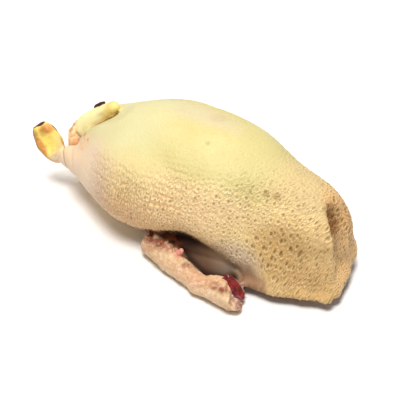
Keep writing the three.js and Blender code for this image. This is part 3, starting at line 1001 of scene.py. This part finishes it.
def follow_steps(points, edges, goals, start, rounds=500):
    """Values whose steps along the edges come closest to the goals, by conjugate gradients."""
    a, b = edges.T
    count = len(points)

    def gathered(steps):
        return np.bincount(b, steps, count) - np.bincount(a, steps, count)

    weight = np.maximum(np.bincount(a, minlength=count) + np.bincount(b, minlength=count), 1)
    value = start.copy()
    rest = gathered(goals - (value[b] - value[a]))
    way = rest / weight
    size = rest @ way
    for _ in range(rounds):
        pull = gathered(way[b] - way[a])
        share = size / max(way @ pull, 1e-12)
        value += share * way
        rest -= share * pull
        eased = rest / weight
        new_size = rest @ eased
        way = eased + way * (new_size / max(size, 1e-12))
        size = new_size
    return value


def map_edges(p, faces, wing):
    """The mesh's edges, without those where the map is torn: along the back and round the wings."""
    x, y, z = p
    edges = np.concatenate([faces[:, [i, (i + 1) % 4]] for i in range(4)])
    edges = np.unique(np.sort(edges, 1), axis=0)
    a, b = edges.T
    under = z < 100 - (x + 120) / 3
    torn = ((y[a] < 0) != (y[b] < 0)) & under[a]
    torn |= (wing[a] > 0.5) != (wing[b] > 0.5)
    return edges[~torn]


def skin_map(p, normal, faces, wing, front, pitch):
    """A map of the skin on which a follicle is one step wide everywhere; the wings have one of their own."""
    x, y, z = p
    m = mirrored(p)
    length = THIGH_STEP + (pitch - THIGH_STEP) * smooth(x, -50, 30)
    width = THIGH_ROW + (BREAST_ROW - THIGH_ROW) * smooth(x, 20, 100)
    skirt = blot(m, (130, 52, 6), (70, 34, 26), 0.9)
    for amount, step in ((front, FRONT_STEP), (skirt, SKIRT_STEP)):
        length = length + (step - length) * amount
        width = width + (step - width) * amount
    lie = np.stack((1 + 0 * x, 0 * x, -0.05 - 0.22 * smooth(x, 20, 130)))
    along = lie - normal * (lie * normal).sum(0)
    along = along / np.maximum(np.linalg.norm(along, axis=0), 1e-6)
    across = np.cross(normal.T, along.T).T

    edges = map_edges(p, faces, wing)
    a, b = edges.T
    half_way = (p[:, b] - p[:, a]) / 2
    maps = []
    for way, pace, guess in ((along, length, x / 8), (across, width, np.arctan2(y, z - 52) * 8)):
        goals = (half_way * (way[:, a] / pace[a] + way[:, b] / pace[b])).sum(0)
        maps.append(follow_steps(p.T, edges, goals, guess))

    bend = 0.002 * (m[0] - WING_MIDDLE[0]) ** 2
    turn = np.arctan2(m[2] - WING_MIDDLE[2], m[1] - WING_MIDDLE[1] + bend)
    u = np.where(wing > 0.5, m[0] / WING_STEP + 100, maps[0])
    v = np.where(wing > 0.5, turn * WING_RADIUS / WING_ROW, maps[1])
    lower = np.stack((-along[2], -across[2], 0 * x), 1)
    return np.stack((u, v, 0 * u), 1), unit(lower)


class DUCK_OT_skin(bpy.types.Operator):
    """Make the skin: one closed surface with its folds, cut edges and feather follicles"""
    bl_idname = "duck.skin"
    bl_label = "Skin"

    def execute(self, context):
        sizes = context.scene.duck_sizes
        points, faces = closed_surface(skin_form, *SKIN_GRID, sizes.cell * 1000)
        normal = unit(slope_of(skin_form, points)).T
        p = points.T
        tint, masks, wing, front = skin_paint(p, normal)
        outside = smooth(flesh_form(mirrored(p)), 1, 1.6) * smooth(p[2], 1, 3)
        folded = points + (normal * fine_folds(p, wing, masks) * outside).T
        for name in ("follicles", "seams"):
            masks[name] = masks[name] * outside
        masks["skin_map"], masks["lower_side"] = skin_map(p, normal, faces, wing, front, sizes.pitch * 1000)

        material = skin_material()
        piece = mesh_piece("duck_skin", place(folded), faces, material)
        paint(piece.data, "tint", "FLOAT_COLOR", np.c_[tint, np.ones(len(tint))])
        for name, values in masks.items():
            paint(piece.data, name, "FLOAT" if values.ndim == 1 else "FLOAT_VECTOR", values)
        tree, sockets = relief_tree()
        add_tree(piece, tree, sockets, {"Depth": sizes.depth, "Finish": material})
        baked(piece, "duck_skin")
        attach(piece, "root")
        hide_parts("duck")
        return {"FINISHED"}


# Flesh

def flesh_material():
    colours = bpy.context.scene.duck_colours
    material, make, shader = new_material("raw_flesh", IOR=1.4, Coat_Weight=0.6, Coat_Roughness=0.1)
    mottle = effect(make, "mottle", mottle_group, Blotch_size=190.0, Grain_size=900.0)
    blotch, grain = mottle["Blotch"], mottle["Grain"]
    base = make.mix(make.fade(blotch, 0.35, 0.7), tuple(colours.flesh), colour(FLESH["muscle"]))
    # pale pink flecks: fat in the flesh, and in part a painted highlight for the glints on the wet cut
    base = make.mix(make.fade(grain, 0.52, 0.75, 0.0, 0.3), base, colour(FLESH["fat and glint"]))
    base = make.mix(make.fade(blotch, 0.42, 0.25, 0.0, 0.8), base, colour(FLESH["vein"]))
    roughness = make.fade(grain, 0.3, 0.7, 0.22, 0.42)
    relief = make.plus(blotch, make.times(grain, 0.3))
    finish_shader(make, shader, base, roughness, relief, 0.6, 0.001)
    return material


class DUCK_OT_flesh(bpy.types.Operator):
    """Make the raw flesh that runs along each forearm and shows at the wrist cut"""
    bl_idname = "duck.flesh"
    bl_label = "Flesh"

    def execute(self, context):
        cell = context.scene.duck_sizes.flesh_cell * 1000
        material = flesh_material()
        (low_x, inner_y, low_z), (high_x, outer_y, high_z) = FLESH_GRID
        for side, name in ((-1, "near"), (1, "far")):
            def form(p):
                return flesh_form((p[0], side * p[1], p[2]))
            low_y, high_y = sorted((side * inner_y, side * outer_y))
            points, faces = closed_surface(form, (low_x, low_y, low_z), (high_x, high_y, high_z), cell)
            piece = mesh_piece("flesh_" + name, place(points), faces, material)
            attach(piece, "root")
            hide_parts("wing_flesh_" + name)
        return {"FINISHED"}


# Stage

# The camera's target and distance in millimetres, its angles in degrees
CAMERA = {"target": (0, -17, 45), "azimuth": 34, "elevation": 38, "distance": 970, "view": 24}

# Each lamp: name, place and size in metres, power in watts and colour
LIGHTS = (
    ("key", (-0.15, 0.35, 1.4), 0.7, 8.5, (1.0, 0.985, 0.96)),
    ("fill", (0.13, -0.5, 1.7), 0.7, 30.8, (1.0, 0.98, 0.96)),
)
LIGHT_TARGET = (0, 0, 0.05)
SKY_COLOUR = (1.0, 0.985, 0.96, 1)
SKY_STRENGTH = 0.26

# The floor in metres: it lies flat, bends up behind the duck and ends as a wall
FLOOR_FRONT = -3.0
FLOOR_BACK = 1.6
FLOOR_BEND = 0.8
FLOOR_TOP = 3.0
FLOOR_SIDE = 4.0
FLOOR_DROP = 0.0002


def studio_floor():
    material, make, shader = new_material("studio_floor", Roughness=0.7, Specular_IOR_Level=0.15)
    pale = tuple(bpy.context.scene.duck_colours.floor)
    shade = tuple(c * 0.985 for c in pale)
    make.set(shader, "Base Color", make.mix(make.fade(noise(make, 6.0, 2.0), 0.3, 0.7), pale, shade))
    line = [(FLOOR_FRONT, 0.0), (FLOOR_BACK, 0.0)]
    for a in np.linspace(0.1, math.pi / 2, 14):
        line.append((FLOOR_BACK + FLOOR_BEND * math.sin(a), FLOOR_BEND - FLOOR_BEND * math.cos(a)))
    line.append((FLOOR_BACK + FLOOR_BEND, FLOOR_TOP))
    points = [(side, y, z - FLOOR_DROP) for y, z in line for side in (-FLOOR_SIDE, FLOOR_SIDE)]
    faces = [(2 * i, 2 * i + 1, 2 * i + 3, 2 * i + 2) for i in range(len(line) - 1)]
    return mesh_piece("studio_floor", points, np.array(faces), material)


def studio_camera(scene):
    target = Vector(place(CAMERA["target"]))
    a, e = math.radians(CAMERA["azimuth"]), math.radians(CAMERA["elevation"])
    back = Vector((math.sin(a) * math.cos(e), -math.cos(a) * math.cos(e), math.sin(e)))
    camera = add_object("camera", bpy.data.cameras.new("camera"))
    camera.location = target + back * CAMERA["distance"] / 1000
    camera.rotation_euler = back.to_track_quat("Z", "Y").to_euler()
    camera.data.angle = math.radians(CAMERA["view"])
    camera.data.clip_start = 0.01
    scene.camera = camera


def studio_lights(scene):
    for name, spot, size, power, tone in LIGHTS:
        light = bpy.data.lights.new(name, "AREA")
        light.shape = "DISK"
        light.size = size
        light.energy = power
        light.color = tone
        lamp = add_object(name, light)
        lamp.location = spot
        lamp.rotation_euler = (Vector(spot) - Vector(LIGHT_TARGET)).to_track_quat("Z", "Y").to_euler()
    world = bpy.data.worlds.new("studio")
    world.use_nodes = True
    sky = world.node_tree.nodes["Background"]
    sky.inputs["Color"].default_value = SKY_COLOUR
    sky.inputs["Strength"].default_value = SKY_STRENGTH
    scene.world = world


class DUCK_OT_stage(bpy.types.Operator):
    """Make the pale studio floor, the soft lights and the camera"""
    bl_idname = "duck.stage"
    bl_label = "Stage"

    def execute(self, context):
        context.scene.view_settings.view_transform = "Standard"
        studio_floor()
        studio_camera(context.scene)
        studio_lights(context.scene)
        return {"FINISHED"}


# Panel

class DUCK_PT_panel(bpy.types.Panel):
    """The duck's sizes, colours and pieces"""
    bl_idname = "DUCK_PT_panel"
    bl_label = "Whole Raw Duck"
    bl_space_type = "VIEW_3D"
    bl_region_type = "UI"
    bl_category = "Duck"

    def draw(self, context):
        for group in (context.scene.duck_sizes, context.scene.duck_colours):
            for key in group.bl_rna.properties.keys():
                if key not in ("rna_type", "name"):
                    self.layout.prop(group, key)
        for operator in OPERATORS:
            self.layout.operator(operator.bl_idname)


OPERATORS = (DUCK_OT_skin, DUCK_OT_flesh, DUCK_OT_stage)
CLASSES = (DuckSizes, DuckColours, *OPERATORS, DUCK_PT_panel)


def register():
    for item in CLASSES:
        bpy.utils.register_class(item)
    bpy.types.Scene.duck_sizes = bpy.props.PointerProperty(type=DuckSizes)
    bpy.types.Scene.duck_colours = bpy.props.PointerProperty(type=DuckColours)


def unregister():
    del bpy.types.Scene.duck_colours
    del bpy.types.Scene.duck_sizes
    for item in reversed(CLASSES):
        bpy.utils.unregister_class(item)


def main():
    register()
    bpy.ops.duck.skin()
    bpy.ops.duck.flesh()
    bpy.ops.duck.stage()


if __name__ == "__main__":
    main()
